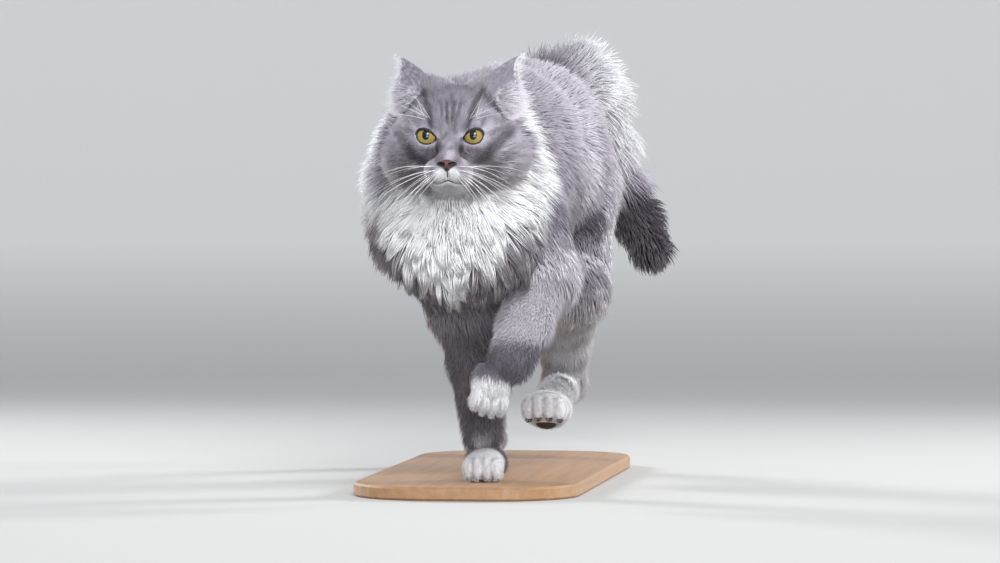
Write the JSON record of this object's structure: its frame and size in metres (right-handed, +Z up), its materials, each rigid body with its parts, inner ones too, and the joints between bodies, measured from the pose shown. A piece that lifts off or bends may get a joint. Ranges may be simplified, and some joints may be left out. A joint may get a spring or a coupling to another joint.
{
  "type": "long-haired cat",
  "caption": "Life-size still model of a long-haired grey cat with a white bib, caught in mid-stride with a lifted forepaw and an arched tail, on a plain display base.",
  "frame": {"origin": "middle of the display base's underside", "axes": "+Z up; the cat faces -Y and its tail is at +Y; +X is the cat's left side"},
  "size_m": [0.2257, 0.7453, 0.4095],
  "materials": {
    "coat_grey": "matte",
    "coat_dark": "matte",
    "coat_pale": "matte",
    "coat_white": "matte",
    "whisker": "satin",
    "eye_amber": "gloss",
    "nose_leather": "satin",
    "paw_pad": "matte",
    "base_wood": "satin"
  },
  "bodies": {
    "root": {"head": "coat_grey", "neck": "coat_pale", "chest": "coat_grey", "belly": "coat_grey", "hips": "coat_grey", "tail_base": "coat_grey", "tail_middle": "coat_grey", "tail_tip": "coat_dark", "ear_left": "coat_grey", "ear_right": "coat_grey", "foreleg_left_forearm": "coat_grey", "foreleg_right_forearm": "coat_dark", "foreleg_left_paw": "coat_white", "foreleg_right_paw": "coat_white", "hindleg_left_thigh": "coat_grey", "hindleg_right_thigh": "coat_grey", "hindleg_left_shank": "coat_grey", "hindleg_right_shank": "coat_grey", "hindleg_left_paw": "coat_white", "hindleg_right_paw": "coat_white", "eye_left": "eye_amber", "eye_right": "eye_amber", "nose": "nose_leather", "stand_base": "base_wood"}
  },
  "joints": []
}
